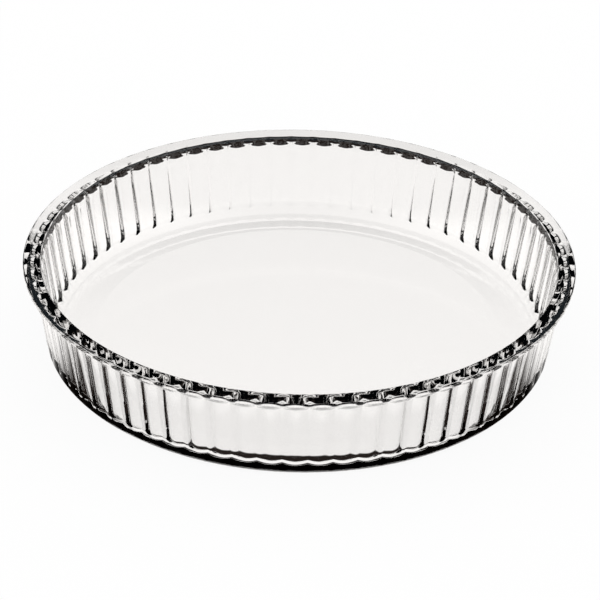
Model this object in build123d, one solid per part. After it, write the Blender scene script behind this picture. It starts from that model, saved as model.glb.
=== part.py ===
from build123d import *
import math
import os

# Fluted pie dish pressed from one gob of clear ovenproof glass. Millimetres, +Z up.
# The origin is the centre of the circle that the dish stands on. The crest of one flute lies on +X.

# Overall sizes
dish_height = 48.0
rim_diameter = 280.0
flute_count = 68

# Rim: a flat land, an outer edge eased above and crisp below, where the mould parts, and a shallow underside
rim_land_width = 9.0
rim_edge_height = 1.8
rim_edge_bevel = 0.5
underside_width = 3.8
underside_drop = 2.3
bore_bevel = 0.45

# Neck: the steeper cone that carries the underside of the rim down to the flutes
neck_width = 1.6
neck_height = 2.7

# Outer wall: convex flutes that meet in sharp valleys, deeper towards the heel
crease_step = 0.3
heel_width = 258.4
heel_rounding = 8.0
valley_depth_top = 0.7
valley_depth_heel = 2.3

# Notches where the valleys run up into the neck
notch_height = 2.0
notch_flank_angle = 55.0

# Foot: the ring that touches the table, measured in from the heel, round a shallow recess
foot_ring_width = 15.2
recess_slope_width = 9.5
recess_depth = 0.8

# Cavity: concave channels between rounded ridges, one ridge behind each valley
floor_thickness = 3.4
heel_wall_thickness = 3.0
floor_rounding = 6.0
ridge_depth_top = 1.3
ridge_depth_floor = 2.0
ridge_share = 0.48
collar_height = 3.9
collar_step = 0.3

# How many flats follow the roundings of the heel and the floor, and the trace left of a flute that has faded out
heel_steps = 3
floor_steps = 2
faded_depth = 0.06

# How far a cutting body runs past the surface that it cuts
overrun = 1.0

# Derived radii and heights
rim_radius = rim_diameter / 2
bore_radius = rim_radius - rim_land_width
neck_top_radius = rim_radius - underside_width
neck_top_height = dish_height - rim_edge_height - underside_drop
crease_radius = neck_top_radius - neck_width
crease_height = neck_top_height - neck_height
wall_top_radius = crease_radius - crease_step
heel_radius = heel_width / 2
foot_ring_inner_radius = heel_radius - foot_ring_width
recess_radius = foot_ring_inner_radius - recess_slope_width
floor_height = recess_depth + floor_thickness
floor_edge_radius = heel_radius - heel_wall_thickness
ridge_top_height = dish_height - collar_height
flute_angle = 360 / flute_count


def polar(radius, angle):
    """The point at this radius and angle in degrees, in the plane of an outline."""
    return (radius * math.cos(math.radians(angle)), radius * math.sin(math.radians(angle)))


def turned(points):
    """A solid turned about the dish's axis from an outline of radius and height pairs."""
    with BuildSketch(Plane.XZ) as section:
        with BuildLine():
            Polyline(*points, close=True)
        make_face()
    return revolve(section.sketch, axis=Axis.Z)


def rounded_foot(foot_radius, foot_height, top_radius, top_height, rounding, steps):
    """Radius and height pairs up a rounding and on to the top of the sloped wall that it is tangent to."""
    lean = math.atan2(top_radius - foot_radius, top_height - foot_height)
    turn = math.pi / 2 - lean
    centre_radius = foot_radius - rounding * math.tan(turn / 2)
    pairs = []
    for step in range(steps + 1):
        angle = turn * step / steps
        pairs.append((
            centre_radius + rounding * math.sin(angle),
            foot_height + rounding * (1 - math.cos(angle)),
        ))
    return pairs + [(top_radius, top_height)]


def halfway(low, high):
    """The radius and height pair midway between two others."""
    return ((low[0] + high[0]) / 2, (low[1] + high[1]) / 2)


def depth_left(line_radius, skin_radius):
    """How deep a valley or ridge along this line still is where the skin has curved in to this radius."""
    return max(faded_depth, skin_radius - line_radius)


def between(low, high, height):
    """The value at a height on the straight line through two height and value pairs."""
    share = (height - low[0]) / (high[0] - low[0])
    return low[1] + (high[1] - low[1]) * share


def fluted_outline(height, crest_radius, valley_radius):
    """One arc for each flute, bulging out from valley to valley, with a crest on +X."""
    with BuildSketch(Plane.XY.offset(height)) as outline:
        with BuildLine():
            for flute in range(flute_count):
                crest = flute * flute_angle
                ThreePointArc(
                    polar(valley_radius, crest - flute_angle / 2),
                    polar(crest_radius, crest),
                    polar(valley_radius, crest + flute_angle / 2),
                )
        make_face()
    return outline.sketch


def ridged_outline(height, channel_radius, ridge_radius):
    """Two arcs for each flute: a channel behind the crest, then a rounded ridge behind the valley."""
    half_channel = flute_angle * (1 - ridge_share) / 2
    join_radius = (channel_radius + ridge_radius) / 2
    with BuildSketch(Plane.XY.offset(height)) as outline:
        with BuildLine():
            for flute in range(flute_count):
                crest = flute * flute_angle
                ThreePointArc(
                    polar(join_radius, crest - half_channel),
                    polar(channel_radius, crest),
                    polar(join_radius, crest + half_channel),
                )
                ThreePointArc(
                    polar(join_radius, crest + half_channel),
                    polar(ridge_radius, crest + flute_angle / 2),
                    polar(join_radius, crest + flute_angle - half_channel),
                )
        make_face()
    return outline.sketch


def make_rim():
    """The solid disc of the rim: land, eased edge, underside and neck, as if the dish had no cavity."""
    return turned([
        (0, crease_height),
        (crease_radius, crease_height),
        (neck_top_radius, neck_top_height),
        (rim_radius, neck_top_height + underside_drop),
        (rim_radius, dish_height - rim_edge_bevel),
        (rim_radius - rim_edge_bevel, dish_height),
        (0, dish_height),
    ])


def make_wall():
    """The solid body below the rim, lofted through fluted outlines that follow the heel up to the neck."""
    skin = rounded_foot(heel_radius, 0, wall_top_radius, crease_height, heel_rounding, heel_steps)
    skin.insert(-1, halfway(*skin[-2:]))
    valley_foot = (0, heel_radius - valley_depth_heel)
    valley_top = (crease_height, wall_top_radius - valley_depth_top)
    outlines = []
    for skin_radius, height in skin:
        depth = depth_left(between(valley_foot, valley_top, height), skin_radius)
        outlines.append(fluted_outline(height, skin_radius, skin_radius - depth))
    return loft(outlines, ruled=True)


def make_notches():
    """Wedges that carry every valley up into the neck, wider as the neck swells."""
    apex_radius = wall_top_radius - valley_depth_top
    mouth_radius = rim_radius + overrun
    half_mouth = (mouth_radius - apex_radius) * math.tan(math.radians(notch_flank_angle))
    with BuildSketch(Plane.XY.offset(crease_height)) as wedge:
        with BuildLine():
            Polyline((apex_radius, 0), (mouth_radius, half_mouth), (mouth_radius, -half_mouth), close=True)
        make_face()
    notch = extrude(wedge.sketch, amount=notch_height)
    valley_angle = flute_angle / 2
    return [Rot(0, 0, valley_angle + flute * flute_angle) * notch for flute in range(flute_count)]


def make_cavity():
    """The space inside, lofted through ridged outlines from the floor up to the plain collar under the rim."""
    bore_line = ((floor_height, floor_edge_radius), (dish_height, bore_radius))
    ridge_top_radius = between(*bore_line, ridge_top_height)
    foot = (floor_edge_radius, floor_height)
    top = (ridge_top_radius, ridge_top_height)
    skin = rounded_foot(*foot, *top, floor_rounding, floor_steps)
    skin.insert(-1, halfway(*skin[-2:]))
    outlines = []
    for step, (skin_radius, height) in enumerate(skin):
        full_depth = between((floor_height, ridge_depth_floor), (ridge_top_height, ridge_depth_top), height)
        risen_share = min(1, step / floor_steps)
        depth = max(faded_depth, full_depth * risen_share)
        outlines.append(ridged_outline(height, skin_radius, skin_radius - depth))
    collar = turned([
        (0, ridge_top_height),
        (ridge_top_radius + collar_step, ridge_top_height),
        (bore_radius, dish_height - bore_bevel),
        (bore_radius + bore_bevel, dish_height),
        (bore_radius + bore_bevel, dish_height + overrun),
        (0, dish_height + overrun),
    ])
    return loft(outlines, ruled=True) + collar


def make_recess():
    """The shallow hollow under the floor, with a sloped edge, that leaves a ring to stand on."""
    return turned([
        (0, -overrun),
        (foot_ring_inner_radius, -overrun),
        (foot_ring_inner_radius, 0),
        (recess_radius, recess_depth),
        (0, recess_depth),
    ])


def make_dish():
    """The whole dish: rim and wall in one, with the notches, the cavity and the recess taken out."""
    blank = make_rim() + make_wall()
    dish = blank - make_notches()
    return dish - make_cavity() - make_recess()


os.makedirs("parts", exist_ok=True)
dish = make_dish()
print("dish volume in cm3:", round(dish.volume / 1000, 1))
print("pitch of the flutes under the neck:", round(2 * math.pi * crease_radius / flute_count, 2))
export_step(dish, "parts/dish.step")
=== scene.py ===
# %% [markdown]
# # A fluted pie dish in clear pressed glass
#
# This scene makes the looks of a round pie dish that was pressed from one gob of clear glass.
# Glass shows only what it bends, so nearly all of its look comes from the true shape of its surfaces
# and from the white sheet and the black card that lie round it. The work goes in this order: the
# shape of one flute, the whole dish, the glass, the studio and the camera.

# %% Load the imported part
import math

import bmesh
import bpy
from mathutils import Matrix, Vector


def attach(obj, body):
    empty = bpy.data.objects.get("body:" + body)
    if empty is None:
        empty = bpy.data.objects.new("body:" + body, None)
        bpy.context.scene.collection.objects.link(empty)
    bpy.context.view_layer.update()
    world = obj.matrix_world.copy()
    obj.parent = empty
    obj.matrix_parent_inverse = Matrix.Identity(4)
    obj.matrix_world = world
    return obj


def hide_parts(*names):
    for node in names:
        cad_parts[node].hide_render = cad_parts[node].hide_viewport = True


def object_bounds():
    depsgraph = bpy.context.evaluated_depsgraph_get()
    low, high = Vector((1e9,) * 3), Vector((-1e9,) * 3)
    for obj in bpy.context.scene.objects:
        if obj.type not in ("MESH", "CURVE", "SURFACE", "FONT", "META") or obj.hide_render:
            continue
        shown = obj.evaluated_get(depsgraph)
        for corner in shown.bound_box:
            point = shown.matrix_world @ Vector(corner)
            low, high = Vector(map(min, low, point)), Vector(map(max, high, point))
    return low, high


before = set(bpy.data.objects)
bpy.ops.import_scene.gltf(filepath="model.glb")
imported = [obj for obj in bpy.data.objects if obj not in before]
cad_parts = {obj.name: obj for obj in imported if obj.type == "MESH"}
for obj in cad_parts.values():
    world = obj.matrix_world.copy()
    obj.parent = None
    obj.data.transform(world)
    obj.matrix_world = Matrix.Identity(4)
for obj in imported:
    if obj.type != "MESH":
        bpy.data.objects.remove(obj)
cad_low, cad_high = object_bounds()
scene = bpy.context.scene
MM = 0.001
CM = 0.01
print("CAD box in mm:", [round(value / MM, 2) for value in (cad_high - cad_low)])

# %% [markdown]
# ## The sizes of the dish
#
# All sizes are in millimetres, with z = 0 on the table. The dish is 280 mm over its rim and 48 mm
# high, with 68 flutes, just as the part was built. Small sizes such as the rounding of an edge matter
# as much as the large ones, because a rounded glass edge draws the dark lines of the picture. So the
# edges are truly round here, and a few of the small sizes differ a little from the part's.

# %% Sizes of the dish
DISH_HEIGHT = 48.0
RIM_RADIUS = 140.0
RIM_LAND_WIDTH = 9.0
RIM_EDGE_HEIGHT = 1.8
RIM_EDGE_ROUNDING = 0.8
LOWER_EDGE_ROUNDING = 0.3
UNDERSIDE_WIDTH = 3.8
UNDERSIDE_DROP = 2.3
NECK_WIDTH = 1.6
NECK_HEIGHT = 2.7
BORE_ROUNDING = 0.7
CREASE_ROUNDING = 1.0
HEEL_RADIUS = 129.2
HEEL_ROUNDING = 6.5
FOOT_RING_RADIUS = 118.0
FOOT_RING_ROUNDING = 1.5
RECESS_RADIUS = 104.5
RECESS_ROUNDING = 3.0
RECESS_DEPTH = 0.8
FLOOR_HEIGHT = 4.2
FLOOR_EDGE_RADIUS = 126.2
FLOOR_ROUNDING = 6.0
RIDGE_TOP = 44.1
RIDGE_FADE = 0.3

FLUTES = 68
VALLEY_DEPTH_TOP = 0.7
VALLEY_DEPTH_HEEL = 1.6
VALLEY_FADE = 10.0
CREST_LIFT = 0.25
NOTCH_HEIGHT = 2.6
NOTCH_FLANK_ANGLE = 55.0
RIDGE_DEPTH_TOP = 1.3
RIDGE_DEPTH_FLOOR = 1.4
RIDGE_SHARE = 0.48

BORE_RADIUS = RIM_RADIUS - RIM_LAND_WIDTH
LAND_MIDDLE = RIM_RADIUS - RIM_LAND_WIDTH / 2
NECK_TOP_RADIUS = RIM_RADIUS - UNDERSIDE_WIDTH
NECK_TOP_HEIGHT = DISH_HEIGHT - RIM_EDGE_HEIGHT - UNDERSIDE_DROP
CREASE_RADIUS = NECK_TOP_RADIUS - NECK_WIDTH
CREASE_HEIGHT = NECK_TOP_HEIGHT - NECK_HEIGHT
NOTCH_TOP = CREASE_HEIGHT + NOTCH_HEIGHT
FLUTE_ANGLE = 2 * math.pi / FLUTES
print("pitch of the flutes under the rim in mm:", round(CREASE_RADIUS * FLUTE_ANGLE, 2))

# %% [markdown]
# The mesh has to be fine where the glass is curved and may be coarse where it is flat. Across a flute
# its points are drawn together towards the valleys, which are sharp. Each kind of rounding has its own
# number of flats.

# %% How fine the mesh is
STEPS_PER_FLUTE = 12
VALLEY_CROWDING = 1.4
FLAT_STEP = 40.0
WALL_STEP = 2.6
COLLAR_STEP = 1.2
COLLAR_HALF = 5.0
NECK_STEP = 0.9
CENTRE_RADIUS = 100.0
WELD_DISTANCE = 0.002

SMALL_FLATS = 3
FOOT_FLATS = 4
EDGE_FLATS = 5
FLOOR_FLATS = 12
HEEL_FLATS = 14
print("steps round the whole dish:", STEPS_PER_FLUTE * FLUTES)

# %% [markdown]
# ## Two wires become two skins
#
# The dish has an outer skin and an inner skin, and each starts as a wire of a few corners. Rounded
# corners come from a bevel. Where a corner lies between two lines that meet at an angle, the bevel has
# to start where a true arc of the wanted radius would touch the lines.

# %% From corners to a rounded wire


def tangent_length(rounding, before, corner, after):
    """How far from the corner an arc of this radius touches both lines."""
    one = math.atan2(before[1] - corner[1], before[0] - corner[0])
    two = math.atan2(after[1] - corner[1], after[0] - corner[0])
    opening = abs((two - one + math.pi) % (2 * math.pi) - math.pi)
    return rounding / math.tan(opening / 2)


def make_wire(corners):
    """A wire in the XZ plane. Each corner is a radius, a height, and its rounding's radius and flats."""
    mesh = bmesh.new()
    points = [mesh.verts.new((radius * MM, 0, height * MM)) for radius, height, _, _ in corners]
    for start, end in zip(points, points[1:]):
        mesh.edges.new((start, end))
    for index in reversed(range(1, len(corners) - 1)):
        before, corner, after = corners[index - 1:index + 2]
        rounding, flats = corner[2:]
        if rounding == 0:
            continue
        bmesh.ops.bevel(
            mesh,
            geom=[points[index]],
            offset=tangent_length(rounding, before, corner, after) * MM,
            offset_type='OFFSET',
            segments=flats,
            profile=0.5,
            affect='VERTICES',
            material=-1,
        )
    return mesh


outer_wire = make_wire([
    (0, RECESS_DEPTH, 0, 0),
    (RECESS_RADIUS, RECESS_DEPTH, RECESS_ROUNDING, FOOT_FLATS),
    (FOOT_RING_RADIUS, 0, FOOT_RING_ROUNDING, FOOT_FLATS),
    (HEEL_RADIUS, 0, HEEL_ROUNDING, HEEL_FLATS),
    (CREASE_RADIUS, CREASE_HEIGHT, CREASE_ROUNDING, SMALL_FLATS),
    (NECK_TOP_RADIUS, NECK_TOP_HEIGHT, 0, 0),
    (RIM_RADIUS, NECK_TOP_HEIGHT + UNDERSIDE_DROP, LOWER_EDGE_ROUNDING, SMALL_FLATS),
    (RIM_RADIUS, DISH_HEIGHT, RIM_EDGE_ROUNDING, EDGE_FLATS),
    (LAND_MIDDLE, DISH_HEIGHT, 0, 0),
])
inner_wire = make_wire([
    (0, FLOOR_HEIGHT, 0, 0),
    (FLOOR_EDGE_RADIUS, FLOOR_HEIGHT, FLOOR_ROUNDING, FLOOR_FLATS),
    (BORE_RADIUS, DISH_HEIGHT, BORE_ROUNDING, EDGE_FLATS),
    (LAND_MIDDLE, DISH_HEIGHT, 0, 0),
])
print("points on the rounded wires:", len(outer_wire.verts), len(inner_wire.verts))

# %% [markdown]
# The straight stretches get points too, or the flutes would have nothing to bend. The steps are short
# at the neck, where the notches are, and at the collar, where the ridges end.

# %% Divide the straight stretches


def divide_long_edges(mesh, step_at):
    """Divides each edge of the wire into equal steps no longer than the step wanted at its middle."""
    for edge in list(mesh.edges):
        middle = (edge.verts[0].co + edge.verts[1].co) / (2 * MM)
        cuts = math.ceil(edge.calc_length() / (step_at(middle.x, middle.z) * MM)) - 1
        if cuts > 0:
            bmesh.ops.subdivide_edges(mesh, edges=[edge], cuts=cuts)


def outer_step(radius, height):
    """The wanted step along the outer wire."""
    if radius < CENTRE_RADIUS:
        return FLAT_STEP
    return NECK_STEP if CREASE_HEIGHT < height < DISH_HEIGHT - RIM_EDGE_HEIGHT else WALL_STEP


def inner_step(radius, height):
    """The wanted step along the inner wire."""
    if radius < CENTRE_RADIUS:
        return FLAT_STEP
    return COLLAR_STEP if abs(height - RIDGE_TOP) < COLLAR_HALF else WALL_STEP


divide_long_edges(outer_wire, outer_step)
divide_long_edges(inner_wire, inner_step)
print("points on the divided wires:", len(outer_wire.verts), len(inner_wire.verts))

# %% [markdown]
# ## One flute
#
# Outside, a flute is a convex lobe that meets its neighbours in a sharp valley, and the valley runs up
# into the cone under the rim as a small notch. Inside, a rounded ridge stands behind each valley and
# follows the curve down to the floor, where it dies out. Two functions give the radius of each skin
# at any height and at any place across the flute.

# %% The form of a flute
LOBE_TOP = CREASE_HEIGHT + CREASE_ROUNDING / 3
LOBE_MARGIN = 1.0


def smooth_share(value):
    """0 to 1 with a soft start and end."""
    clamped = min(1, max(0, value))
    return clamped * clamped * (3 - 2 * clamped)


def mix(low, high, share):
    """The value at a share of the way from low to high."""
    return low + (high - low) * share


def outer_radius(radius, height, from_valley):
    """The flute's outer form. from_valley is 0 in the valley and 0.5 on the crest."""
    up = min(1, height / CREASE_HEIGHT)
    wall_radius = mix(HEEL_RADIUS, CREASE_RADIUS, up)
    depth = mix(VALLEY_DEPTH_HEEL, VALLEY_DEPTH_TOP, up) + CREST_LIFT
    fade = smooth_share(height / VALLEY_FADE)
    lobe = wall_radius + CREST_LIFT - depth * fade * (1 - 2 * from_valley) ** 2
    if height <= LOBE_TOP:
        return min(radius, lobe) if radius > FOOT_RING_RADIUS + LOBE_MARGIN else radius
    if height < NOTCH_TOP:
        across_flute = from_valley * FLUTE_ANGLE * radius
        flank = across_flute / math.tan(math.radians(NOTCH_FLANK_ANGLE))
        return min(radius, CREASE_RADIUS - VALLEY_DEPTH_TOP + flank)
    return radius


def inner_radius(radius, height, from_valley):
    """The inner form: a rounded ridge behind the valley, a shallow channel behind the crest."""
    half = RIDGE_SHARE / 2
    if from_valley < half:
        rise = 1 - 0.5 * (from_valley / half) ** 2
    else:
        rise = 0.5 * ((0.5 - from_valley) / (0.5 - half)) ** 2
    up = (height - FLOOR_HEIGHT) / (RIDGE_TOP - FLOOR_HEIGHT)
    depth = mix(RIDGE_DEPTH_FLOOR, RIDGE_DEPTH_TOP, min(1, up))
    if height > RIDGE_TOP:
        depth = depth * (1 - smooth_share((height - RIDGE_TOP) / RIDGE_FADE))
    if height < FLOOR_HEIGHT + FLOOR_ROUNDING:
        depth = depth * smooth_share((radius - FLOOR_EDGE_RADIUS + FLOOR_ROUNDING) / FLOOR_ROUNDING)
    return radius - depth * rise


print("radius of a crest and a valley at half height:", [
    round(outer_radius(RIM_RADIUS, DISH_HEIGHT / 2, from_valley), 2) for from_valley in (0.5, 0)
])

# %% [markdown]
# The wires are spun through the angle of one flute, from valley to valley. Only then are the points
# moved to the form of the flute, because the spin would wipe it out.

# %% Spin and shape one flute


def shape_flute(mesh, form):
    """Spins the wire from valley to valley, draws its points to the valleys and gives them the form."""
    bmesh.ops.rotate(mesh, verts=mesh.verts, matrix=Matrix.Rotation(-FLUTE_ANGLE / 2, 3, 'Z'))
    bmesh.ops.spin(
        mesh,
        geom=list(mesh.verts) + list(mesh.edges),
        cent=(0, 0, 0),
        axis=(0, 0, 1),
        angle=FLUTE_ANGLE,
        steps=STEPS_PER_FLUTE,
    )
    for point in mesh.verts:
        radius = math.hypot(point.co.x, point.co.y) / MM
        if radius < CENTRE_RADIUS:
            continue
        turn = math.atan2(point.co.y, point.co.x) / FLUTE_ANGLE
        side = math.copysign(1, turn)
        from_valley = (1 - 2 * abs(turn)) ** VALLEY_CROWDING / 2 if abs(turn) < 0.5 else 0
        radius = form(radius, point.co.z / MM, from_valley)
        angle = side * (0.5 - from_valley) * FLUTE_ANGLE
        point.co.x = radius * MM * math.cos(angle)
        point.co.y = radius * MM * math.sin(angle)


shape_flute(outer_wire, outer_radius)
shape_flute(inner_wire, inner_radius)
print("faces in one flute:", len(outer_wire.faces) + len(inner_wire.faces))

# %% [markdown]
# ## The whole dish
#
# The two skins of one flute are joined, repeated all the way round and sewn together where they touch.
# A glass piece has to be closed with every face pointing outwards, or the light gets lost inside it,
# so the count of open edges printed here must be 0.

# %% Repeat the flute all the way round


def join(first, second):
    """Adds the second mesh to the first."""
    carrier = bpy.data.meshes.new("carrier")
    second.to_mesh(carrier)
    second.free()
    first.from_mesh(carrier)
    bpy.data.meshes.remove(carrier)


def repeat_round(mesh, count):
    """Turns copies of the whole mesh about Z until there are count of them."""
    bmesh.ops.spin(
        mesh,
        geom=list(mesh.verts) + list(mesh.edges) + list(mesh.faces),
        cent=(0, 0, 0),
        axis=(0, 0, 1),
        angle=2 * math.pi * (count - 1) / count,
        steps=count - 1,
        use_duplicate=True,
    )


dish_mesh = outer_wire
join(dish_mesh, inner_wire)
repeat_round(dish_mesh, FLUTES)
bmesh.ops.remove_doubles(dish_mesh, verts=dish_mesh.verts, dist=WELD_DISTANCE * MM)
bmesh.ops.recalc_face_normals(dish_mesh, faces=dish_mesh.faces)
for face in dish_mesh.faces:
    face.smooth = True
open_edges = sum(1 for edge in dish_mesh.edges if not edge.is_manifold)
triangles = sum(len(face.verts) - 2 for face in dish_mesh.faces)
print("open edges:", open_edges, "triangles:", triangles)
print("glass volume in cm3:", round(dish_mesh.calc_volume(signed=True) / CM ** 3, 1))
mesh_data = bpy.data.meshes.new("pie_dish")
dish_mesh.to_mesh(mesh_data)
dish_mesh.free()
dish = bpy.data.objects.new("pie_dish", mesh_data)
scene.collection.objects.link(dish)

# %% [markdown]
# ## The glass
#
# A material is a tree of nodes. Two small helpers are enough for all of them: one turns a colour code
# into the linear numbers that light is reckoned in, and one adds a node and sets or links its inputs.

# %% Helpers for colours and nodes


def hex_colour(text):
    """A linear colour from an sRGB code such as #EFEFEA."""
    channels = [int(text[start:start + 2], 16) / 255 for start in (1, 3, 5)]
    linear = [c / 12.92 if c <= 0.04045 else ((c + 0.055) / 1.055) ** 2.4 for c in channels]
    return (*linear, 1)


def add_node(tree, kind, settings=None, *values, **inputs):
    """Adds a node, then sets or links its inputs, in their order or by name.

    A name has underscores for its spaces. A node given as a value stands for its first output.
    """
    node = tree.nodes.new(kind)
    for name, value in (settings or {}).items():
        setattr(node, name, value)
    pairs = list(zip(node.inputs, values))
    pairs += [(node.inputs[name.replace("_", " ")], value) for name, value in inputs.items()]
    for socket, value in pairs:
        if isinstance(value, bpy.types.Node):
            value = value.outputs[0]
        if isinstance(value, bpy.types.NodeSocket):
            tree.links.new(value, socket)
        else:
            socket.default_value = value
    return node


def new_material(name):
    """A material with an empty node tree."""
    material = bpy.data.materials.new(name)
    material.use_nodes = True
    material.node_tree.nodes.clear()
    return material, material.node_tree


WHITE = hex_colour("#FFFFFF")
print("white in linear numbers:", WHITE)

# %% [markdown]
# Ovenproof glass is clear with a very faint warm grey body, which a volume absorption gives: the light
# is tinted more the further it travels in the glass. Its surface was pressed and then polished by the
# flame, so it is smooth but never quite even: a slow wave and a finer ripple tilt it very slightly.

# %% Glass material
GLASS_INDEX = 1.5
GLASS_TINT = "#EBE7E4"
ABSORPTION = 8.0
WAVE_SIZE = 38.0
WAVE_HEIGHT = 0.02
RIPPLE_SIZE = 9.0
RIPPLE_HEIGHT = 0.002

glass, tree = new_material("clear_pressed_ovenproof_glass")
place = add_node(tree, "ShaderNodeTexCoord").outputs["Object"]
wave = add_node(tree, "ShaderNodeTexNoise", Vector=place, Scale=1 / (WAVE_SIZE * MM), Detail=1.0)
ripple = add_node(tree, "ShaderNodeTexNoise", Vector=place, Scale=1 / (RIPPLE_SIZE * MM), Detail=2.0)
wave_bump = add_node(
    tree, "ShaderNodeBump", Height=wave.outputs["Fac"], Distance=WAVE_HEIGHT * MM, Strength=1.0
)
ripple_bump = add_node(
    tree,
    "ShaderNodeBump",
    Height=ripple.outputs["Fac"],
    Distance=RIPPLE_HEIGHT * MM,
    Strength=1.0,
    Normal=wave_bump,
)
surface = add_node(
    tree,
    "ShaderNodeBsdfPrincipled",
    Base_Color=WHITE,
    Roughness=0.0,
    IOR=GLASS_INDEX,
    Transmission_Weight=1.0,
    Normal=ripple_bump,
)
body = add_node(tree, "ShaderNodeVolumeAbsorption", Color=hex_colour(GLASS_TINT), Density=ABSORPTION)
add_node(tree, "ShaderNodeOutputMaterial", Surface=surface, Volume=body)
dish.data.materials.append(glass)
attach(dish, "root")
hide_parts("dish")
print("glass nodes:", len(tree.nodes))

# %% [markdown]
# ## The studio
#
# Clear glass is photographed between white and black. The table that the camera sees is plain white
# paper. What the glass bends towards the camera comes from a white sheet under and behind the dish,
# from a band of painted shadow of the dish close in front of it, and from a dark room all round. The
# painted shadow and the dark room draw the dark lines of the glass. The table lies a hair below the
# dish, so that the two never touch.

# %% The table
TABLE_SIZE = 6000.0
TABLE_DROP = 0.2

table_mesh = bmesh.new()
bmesh.ops.create_grid(table_mesh, x_segments=1, y_segments=1, size=TABLE_SIZE * MM / 2)
bmesh.ops.translate(table_mesh, verts=table_mesh.verts, vec=(0, 0, cad_low.z - TABLE_DROP * MM))
table_data = bpy.data.meshes.new("table")
table_mesh.to_mesh(table_data)
table_mesh.free()
table = bpy.data.objects.new("table", table_data)
scene.collection.objects.link(table)
print("table height in mm:", round((cad_low.z - TABLE_DROP * MM) / MM, 2))

# %% [markdown]
# The white sheet reaches a little behind the dish and has a round far end. A painted shadow of the
# dish darkens it in front of the dish, from the edge of the dish's base to a little way outside the
# rim. At the very front the painted shadow also reaches in under the floor, and there a narrow slot in
# it lets the sheet show again. Each edge is a soft step in a Map Range node, and the steps are then
# put together with plain arithmetic.

# %% Where the sheet and the painted shadow lie
SHEET_MIDDLE = 75.0
SHEET_MIDDLE_SOFT = 15.0
SHEET_RADIUS = 160.0
SHEET_SOFT = 6.0
PAINTED_SHADOW_SOFT = 1.0
# The dark band set out below is a painted shadow of the dish on the table, in front of its foot; only
# the glass sees it.
PAINTED_SHADOW_RADIUS_SIDE = 132.5
PAINTED_SHADOW_RADIUS_FRONT = 123.0
PAINTED_SHADOW_RADIUS_MIDDLE = 111.0
PAINTED_SHADOW_FRONT_FROM = -25.0
PAINTED_SHADOW_FRONT_SOFT = 8.0
PAINTED_SHADOW_MIDDLE_FROM = -105.0
PAINTED_SHADOW_MIDDLE_SOFT = 12.0
PAINTED_SHADOW_OUTER = 165.0
PAINTED_SHADOW_OUTER_SOFT = 5.0
PAINTED_SHADOW_END = -40.0
PAINTED_SHADOW_END_SOFT = 20.0
SLOT_INNER = 123.0
SLOT_OUTER = 129.5
SLOT_FROM = -92.0
SLOT_FROM_SOFT = 8.0
painted_shadow_reach = PAINTED_SHADOW_RADIUS_FRONT - PAINTED_SHADOW_RADIUS_MIDDLE

SOFTLY = {"interpolation_type": "SMOOTHSTEP"}
LARGER = {"operation": "MAXIMUM"}
PRODUCT = {"operation": "MULTIPLY"}
DIFFERENCE = {"operation": "SUBTRACT"}


def soft_edge(edge, softness, before=0.0, after=1.0):
    """Map Range inputs that go softly from before to after where the value passes the edge."""
    return {
        "From_Min": (edge - softness) * MM,
        "From_Max": (edge + softness) * MM,
        "To_Min": before,
        "To_Max": after,
    }


paper, tree = new_material("white_paper_with_painted_shadow")
place = add_node(tree, "ShaderNodeTexCoord").outputs["Object"]
across, along, _ = add_node(tree, "ShaderNodeSeparateXYZ", Vector=place).outputs
flat_place = add_node(tree, "ShaderNodeCombineXYZ", X=across, Y=along)
length = add_node(tree, "ShaderNodeVectorMath", {"operation": "LENGTH"}, flat_place)
from_axis = length.outputs["Value"]
distance = add_node(
    tree, "ShaderNodeVectorMath", {"operation": "DISTANCE"}, flat_place, (0, SHEET_MIDDLE * MM, 0)
)
from_middle = distance.outputs["Value"]
edges = {
    "front_radius": (
        along, PAINTED_SHADOW_FRONT_FROM, PAINTED_SHADOW_FRONT_SOFT, PAINTED_SHADOW_RADIUS_FRONT * MM, PAINTED_SHADOW_RADIUS_SIDE * MM
    ),
    "front_reach": (along, PAINTED_SHADOW_MIDDLE_FROM, PAINTED_SHADOW_MIDDLE_SOFT, painted_shadow_reach * MM, 0.0),
    "behind_painted_shadow": (along, PAINTED_SHADOW_END, PAINTED_SHADOW_END_SOFT),
    "outside_painted_shadow": (from_axis, PAINTED_SHADOW_OUTER, PAINTED_SHADOW_OUTER_SOFT),
    "outside_slot_start": (from_axis, SLOT_INNER, PAINTED_SHADOW_SOFT),
    "inside_slot_end": (from_axis, SLOT_OUTER, PAINTED_SHADOW_SOFT, 1.0, 0.0),
    "at_the_front": (along, SLOT_FROM, SLOT_FROM_SOFT, 1.0, 0.0),
    "inside_round_end": (from_middle, SHEET_RADIUS, SHEET_SOFT, 1.0, 0.0),
    "before_round_end": (along, SHEET_MIDDLE, SHEET_MIDDLE_SOFT, 1.0, 0.0),
}
steps = {
    name: add_node(tree, "ShaderNodeMapRange", SOFTLY, value, **soft_edge(*edge))
    for name, (value, *edge) in edges.items()
}
print("soft steps on the table:", len(steps))

# %% [markdown]
# The sheet shows where there is no painted shadow, or at the slot, as long as it isn't past the far end.

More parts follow.
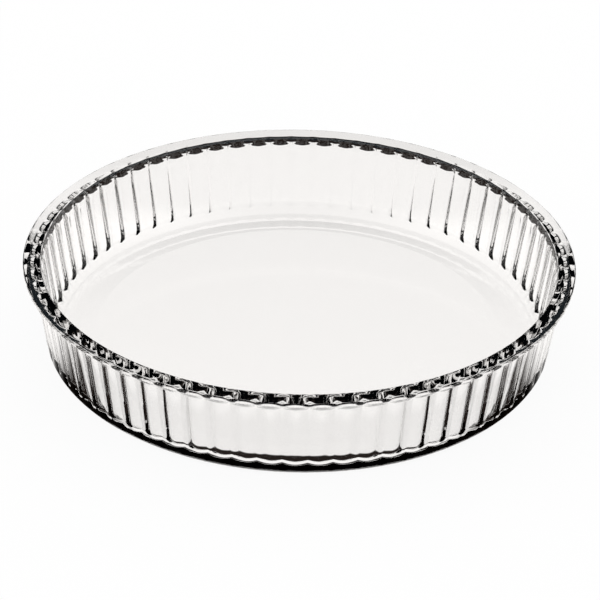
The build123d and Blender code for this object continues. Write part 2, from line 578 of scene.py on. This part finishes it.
# %% Put the steps together
# Where the dark band lies, the glass sees painted shadow instead of the sheet.
painted_shadow_edge = add_node(tree, "ShaderNodeMath", DIFFERENCE, steps["front_radius"], steps["front_reach"])
past_edge = add_node(tree, "ShaderNodeMath", DIFFERENCE, from_axis, painted_shadow_edge)
no_painted_shadow = add_node(
    tree, "ShaderNodeMapRange", SOFTLY, past_edge, **soft_edge(0.0, PAINTED_SHADOW_SOFT, 1.0, 0.0)
)
for step in ("behind_painted_shadow", "outside_painted_shadow"):
    no_painted_shadow = add_node(tree, "ShaderNodeMath", LARGER, no_painted_shadow, steps[step])
slot = steps["outside_slot_start"]
for step in ("inside_slot_end", "at_the_front"):
    slot = add_node(tree, "ShaderNodeMath", PRODUCT, slot, steps[step])
on_sheet = add_node(
    tree, "ShaderNodeMath", LARGER, steps["inside_round_end"], steps["before_round_end"]
)
uncovered = add_node(tree, "ShaderNodeMath", LARGER, no_painted_shadow, slot)
sheet_shows = add_node(tree, "ShaderNodeMath", PRODUCT, on_sheet, uncovered)
print("table nodes so far:", len(tree.nodes))

# %% [markdown]
# For the glass, the sheet gives off its own even light. The dark colour that stands for the painted
# shadow, and for the table past the sheet, gives off a dim glow in the same way. The sheet is a little
# brighter under the dish than behind it, because the floor is looked through at a slant, which dims it
# more than the wall. The camera sees white paper instead, with a small share of matt paint in it that
# takes a soft shadow of the dish.

# %% The looks of the table
PAPER_WHITE = "#FCFCFC"
SHADOW_SHARE = 0.07
WARM_WHITE = "#FFFDFB"
# The dark colour below is painted shadow in front of the dish's foot, and the plain dark of the table
# past the sheet.
DARK_TABLE_AND_PAINTED_SHADOW_COLOUR = "#231D1A"
SHEET_NEAR_LEVEL = 1.07
SHEET_FAR_LEVEL = 0.95
SHEET_FAR_FROM = 125.0
SHEET_FAR_SOFT = 20.0

level = add_node(
    tree,
    "ShaderNodeMapRange",
    SOFTLY,
    along,
    **soft_edge(SHEET_FAR_FROM, SHEET_FAR_SOFT, SHEET_NEAR_LEVEL, SHEET_FAR_LEVEL),
)
# This dark glow is painted shadow of the dish where the dark band lies, and the unlit table past the
# sheet.
dark_table_and_painted_shadow = add_node(tree, "ShaderNodeEmission", Color=hex_colour(DARK_TABLE_AND_PAINTED_SHADOW_COLOUR), Strength=level)
sheet = add_node(tree, "ShaderNodeEmission", Color=hex_colour(WARM_WHITE), Strength=level)
for_glass = add_node(tree, "ShaderNodeMixShader", {}, sheet_shows, dark_table_and_painted_shadow, sheet)
glow = add_node(tree, "ShaderNodeEmission", Color=WHITE, Strength=1.0)
matt = add_node(tree, "ShaderNodeBsdfDiffuse", Color=hex_colour(PAPER_WHITE))
for_camera = add_node(tree, "ShaderNodeMixShader", {}, SHADOW_SHARE, glow, matt)
path = add_node(tree, "ShaderNodeLightPath")
looks = add_node(
    tree, "ShaderNodeMixShader", {}, path.outputs["Is Camera Ray"], for_glass, for_camera
)
add_node(tree, "ShaderNodeOutputMaterial", Surface=looks)
table.data.materials.append(paper)
print("table nodes:", len(tree.nodes))

# %% [markdown]
# The room is white for the camera and for the paper, so the background is white and the paper is lit
# evenly. For the glass it is a dark room, which gives the black lines where light would come from the
# sides and from above.

# %% The room
DARK_ROOM = "#1D2124"

room = bpy.data.worlds.new("room")
scene.world = room
room.use_nodes = True
tree = room.node_tree
tree.nodes.clear()
dark = add_node(tree, "ShaderNodeBackground", Color=hex_colour(DARK_ROOM))
white = add_node(tree, "ShaderNodeBackground", Color=WHITE)
path = add_node(tree, "ShaderNodeLightPath")
sees_white = add_node(
    tree, "ShaderNodeMath", LARGER, path.outputs["Is Camera Ray"], path.outputs["Is Diffuse Ray"]
)
looks = add_node(tree, "ShaderNodeMixShader", {}, sees_white, dark, white)
add_node(tree, "ShaderNodeOutputWorld", Surface=looks)
print("room nodes:", len(tree.nodes))

# %% [markdown]
# ## The camera
#
# The photograph was taken from about 31 degrees above the table with a long lens, a little over a
# metre away. The aim is a touch off the middle of the dish, and the horizon leans by about one degree.
# Angles are in degrees, distances in metres, and the lens and its sensor in millimetres.

# %% Camera
CAMERA_ELEVATION = 30.695
CAMERA_DISTANCE = 1.1219
CAMERA_ROLL = 1.327
AIM_RIGHT = 0.00066
AIM_UP = -0.00355
AIM_HEIGHT = 0.02421
LENS = 130.85
SENSOR = 36.0
FAR_CLIP = 100.0

elevation = math.radians(CAMERA_ELEVATION)
away = Vector((0, -math.cos(elevation), math.sin(elevation)))
up = Vector((0, math.sin(elevation), math.cos(elevation)))
forward = (-away + Vector((1, 0, 0)) * AIM_RIGHT + up * AIM_UP).normalized()
level_right = forward.cross(up).normalized()
level_up = level_right.cross(forward)
roll = math.radians(CAMERA_ROLL)
right = level_right * math.cos(roll) + level_up * math.sin(roll)
upward = level_up * math.cos(roll) - level_right * math.sin(roll)
turn = Matrix((right, upward, -forward)).transposed().to_4x4()
stand = Matrix.Translation(away * CAMERA_DISTANCE + Vector((0, 0, AIM_HEIGHT)))

camera_data = bpy.data.cameras.new("camera")
camera_data.sensor_width = SENSOR
camera_data.lens = LENS
camera_data.clip_end = FAR_CLIP
camera = bpy.data.objects.new("camera", camera_data)
camera.matrix_world = stand @ turn
scene.collection.objects.link(camera)
scene.camera = camera
scene.view_settings.view_transform = "Standard"
print("camera at:", [round(value, 3) for value in camera.matrix_world.translation])
